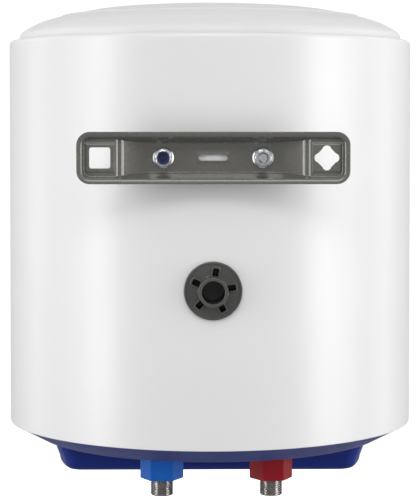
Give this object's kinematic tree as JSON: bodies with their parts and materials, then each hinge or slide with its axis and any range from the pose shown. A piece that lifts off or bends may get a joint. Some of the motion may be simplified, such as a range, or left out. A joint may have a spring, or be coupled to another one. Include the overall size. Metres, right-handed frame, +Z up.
{
  "type": "wall-hung storage water heater",
  "caption": "Round wall-hung electric storage water heater: white steel jacket and domed lid, blue bottom cap, pressed wall bracket with hook holes, threaded cold and hot pipe connections.",
  "frame": {"origin": "middle of the bracket's upper flange, on the wall plane", "axes": "+Y points into the wall that the heater hangs on, +Z up, so the room side is -Y"},
  "size_m": [0.385, 0.4071, 0.4532],
  "materials": {
    "white_enamel_steel": "gloss",
    "white_plastic": "satin",
    "blue_plastic": "satin",
    "grey_painted_steel": "satin",
    "zinc_steel": "satin",
    "blue_nylon": "satin",
    "grey_plastic": "satin",
    "enamelled_steel": "gloss",
    "foam": "matte",
    "pipe_steel": "satin",
    "collar_blue": "satin",
    "collar_red": "satin",
    "natural_plastic": "satin",
    "gasket_rubber": "matte",
    "element_sheath": "satin",
    "magnesium": "matte",
    "cream_plastic": "satin",
    "brass": "satin",
    "knob_plastic": "satin",
    "red_plastic": "satin",
    "black_plastic": "satin",
    "amber_plastic": "gloss",
    "brown_insulation": "satin",
    "blue_insulation": "satin",
    "black_insulation": "satin"
  },
  "bodies": {
    "heater": {"outer_jacket": "white_enamel_steel", "top_lid": "white_plastic", "bottom_cap": "blue_plastic", "wall_bracket": "grey_painted_steel", "bracket_stud_left": "zinc_steel", "bracket_stud_right": "zinc_steel", "stud_saddle": "zinc_steel", "flange_nut_lock": "zinc_steel", "flange_nut_plain": "zinc_steel", "nylon_ring": "blue_nylon", "wall_spacer": "grey_plastic", "tank_shell": "enamelled_steel", "tank_top_end": "enamelled_steel", "tank_bottom_end": "enamelled_steel", "foam_insulation": "foam", "cold_inlet_nipple": "pipe_steel", "hot_outlet_nipple": "pipe_steel", "cold_hex_collar": "collar_blue", "hot_hex_collar": "collar_red", "inlet_diffuser": "natural_plastic", "outlet_riser": "natural_plastic", "tank_flange_ring": "zinc_steel", "flange_gasket": "gasket_rubber", "element_plate": "zinc_steel", "heating_element": "element_sheath", "anode_rod": "magnesium", "anode_nut": "zinc_steel", "sensor_pocket": "pipe_steel", "thermostat_body": "cream_plastic", "terminal_block": "cream_plastic", "cable_gland": "black_plastic", "gland_nut": "black_plastic", "lamp_lens": "amber_plastic", "lamp_body": "natural_plastic", "wire_live": "brown_insulation", "wire_load": "brown_insulation", "wire_neutral": "blue_insulation", "wire_lamp": "black_insulation", "flange_bolt_1": "zinc_steel", "flange_bolt_2": "zinc_steel", "flange_bolt_3": "zinc_steel", "flange_bolt_4": "zinc_steel", "flange_bolt_5": "zinc_steel", "cap_screw_1": "zinc_steel", "cap_screw_2": "zinc_steel", "cap_screw_3": "zinc_steel"},
    "knob": {"thermostat_knob": "knob_plastic", "thermostat_shaft": "brass"},
    "reset": {"reset_button": "red_plastic"}
  },
  "joints": [
    {"name": "thermostat_turn", "type": "hinge", "parent": "heater", "child": "knob", "pos_m": [0, -0.2125, -0.31465], "axis": [0, 0, 1], "range_deg": [0, 270]},
    {"name": "cutout_reset", "type": "slide", "parent": "heater", "child": "reset", "axis": [0, 0, 1], "range_m": [0, 0.002], "stiffness_N_per_m": 400, "springref_m": -0.002}
  ]
}
